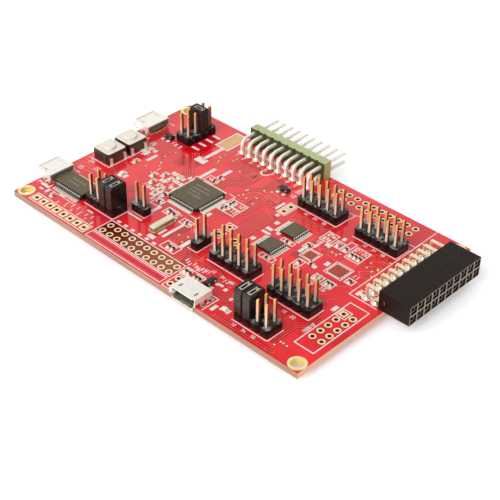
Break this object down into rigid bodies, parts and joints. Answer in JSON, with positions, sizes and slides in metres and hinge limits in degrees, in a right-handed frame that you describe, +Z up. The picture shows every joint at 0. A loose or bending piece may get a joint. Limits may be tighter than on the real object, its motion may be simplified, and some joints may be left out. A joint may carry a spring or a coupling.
{
  "type": "microcontroller development board",
  "caption": "Rectangular microcontroller development board with pin headers, jumper caps, push buttons, USB ports, a right-angle header and an edge socket.",
  "frame": {"origin": "centre of the board's outline and of its mounting holes, on the board's underside", "axes": "+X along the long edge towards the edge socket, +Y towards the green right-angle header, +Z up through the parts"},
  "size_m": [0.1025, 0.0671, 0.0113],
  "materials": {
    "board_mask": "glossy red solder mask over glass fibre",
    "gold_plating": "gold flash on copper",
    "header_plastic": "moulded black",
    "pin_gold": "gold plated",
    "cap_plastic": "moulded black",
    "green_plastic": "moulded green",
    "tin_plating": "tin plated",
    "socket_plastic": "moulded black",
    "solder": "bright solder",
    "chip_resin": "moulded epoxy",
    "crystal_metal": "satin",
    "resistor_black": "glazed",
    "capacitor_tan": "ceramic",
    "lamp_resin": "clear resin over white",
    "usb_steel": "nickel plated",
    "usb_plastic": "moulded black",
    "switch_black": "moulded black",
    "switch_cover_metal": "satin",
    "button_cream": "moulded cream",
    "dome_steel": "spring steel"
  },
  "bodies": {
    "board": {"buffer_bodies": "chip_resin", "buffer_leads": "tin_plating", "capacitor_bodies": "capacitor_tan", "chip_terminals": "tin_plating", "circuit_board": "board_mask", "crystal_base": "crystal_metal", "crystal_can": "crystal_metal", "edge_pad_plating": "gold_plating", "front_jumper_insulator": "header_plastic", "front_left_header_insulator": "header_plastic", "front_right_header_insulator": "header_plastic", "front_switch_base": "switch_black", "front_switch_cover": "switch_cover_metal", "front_usb_shell": "usb_steel", "green_header_body": "green_plastic", "green_header_pins": "tin_plating", "hole_array_plating": "gold_plating", "indicator_lamps": "lamp_resin", "jumper_block_pins": "pin_gold", "left_jumper_insulator": "header_plastic", "left_usb_shell": "usb_steel", "microcontroller_body": "chip_resin", "microcontroller_leads": "tin_plating", "mounting_hole_plating": "gold_plating", "power_pad_plating": "gold_plating", "rear_jumper_insulator": "header_plastic", "rear_left_header_insulator": "header_plastic", "rear_right_header_insulator": "header_plastic", "rear_switch_base": "switch_black", "rear_switch_cover": "switch_cover_metal", "rear_usb_shell": "usb_steel", "resistor_bodies": "resistor_black", "side_socket_body": "socket_plastic", "side_socket_contacts": "tin_plating", "solder_joints": "solder", "straight_header_pins": "pin_gold", "switch_domes": "dome_steel", "switch_legs": "tin_plating", "transistor_bodies": "chip_resin", "transistor_leads": "tin_plating", "two_pin_insulators": "header_plastic", "usb_bridge_body": "chip_resin", "usb_bridge_leads": "tin_plating", "usb_contacts": "tin_plating", "usb_tongues": "usb_plastic"},
    "front_cap_a": {"front_cap_a_sleeve": "cap_plastic", "front_cap_a_clip": "pin_gold"},
    "front_cap_b": {"front_cap_b_sleeve": "cap_plastic", "front_cap_b_clip": "pin_gold"},
    "left_cap_a": {"left_cap_a_sleeve": "cap_plastic", "left_cap_a_clip": "pin_gold"},
    "left_cap_b": {"left_cap_b_sleeve": "cap_plastic", "left_cap_b_clip": "pin_gold"},
    "rear_cap": {"rear_cap_sleeve": "cap_plastic", "rear_cap_clip": "pin_gold"},
    "front_switch_button": {"front_switch_button": "button_cream"},
    "rear_switch_button": {"rear_switch_button": "button_cream"}
  },
  "joints": [
    {"name": "front_switch_press", "type": "slide", "parent": "board", "child": "front_switch_button", "axis": [0, 0, -1], "range_m": [0, 0.00025], "stiffness_N_per_m": 6000},
    {"name": "rear_switch_press", "type": "slide", "parent": "board", "child": "rear_switch_button", "axis": [0, 0, -1], "range_m": [0, 0.00025], "stiffness_N_per_m": 6000},
    {"name": "front_cap_a_pull", "type": "slide", "parent": "board", "child": "front_cap_a", "axis": [0, 0, 1], "range_m": [0, 0.0075]},
    {"name": "front_cap_b_pull", "type": "slide", "parent": "board", "child": "front_cap_b", "axis": [0, 0, 1], "range_m": [0, 0.0075]},
    {"name": "left_cap_a_pull", "type": "slide", "parent": "board", "child": "left_cap_a", "axis": [0, 0, 1], "range_m": [0, 0.0075]},
    {"name": "left_cap_b_pull", "type": "slide", "parent": "board", "child": "left_cap_b", "axis": [0, 0, 1], "range_m": [0, 0.0075]},
    {"name": "rear_cap_pull", "type": "slide", "parent": "board", "child": "rear_cap", "axis": [0, 0, 1], "range_m": [0, 0.0075]}
  ]
}
